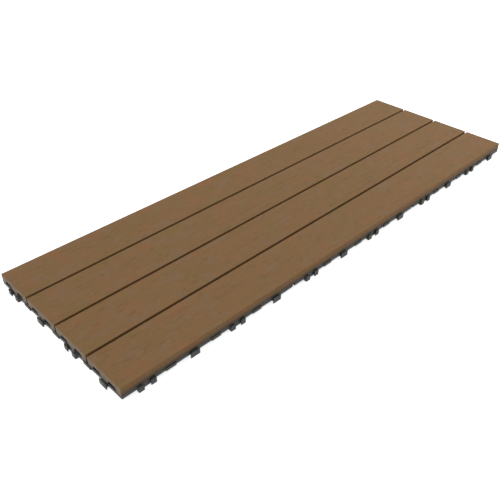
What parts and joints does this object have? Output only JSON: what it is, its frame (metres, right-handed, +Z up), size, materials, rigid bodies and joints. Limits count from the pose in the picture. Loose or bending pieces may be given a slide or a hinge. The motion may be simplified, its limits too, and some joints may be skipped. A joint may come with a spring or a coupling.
{
  "type": "interlocking deck tile",
  "caption": "Deck tile of grooved wood-plastic composite boards on square black plastic lattice bases, with clips on every side that lock to the next tile.",
  "frame": {"origin": "middle of the footprint, on the plane that the feet stand on", "axes": "+X along the boards, +Y across them, +Z up through the walking face"},
  "size_m": [0.903, 0.303, 0.022],
  "materials": {
    "composite_board": "wood-plastic composite with a faint embossed grain, matt",
    "base_plastic": "moulded black polypropylene",
    "screw_steel": "stainless steel"
  },
  "bodies": {
    "root": {"base_1": "base_plastic", "base_2": "base_plastic", "base_3": "base_plastic", "board_1": "composite_board", "board_2": "composite_board", "board_3": "composite_board", "board_4": "composite_board", "screws": "screw_steel"}
  },
  "joints": []
}
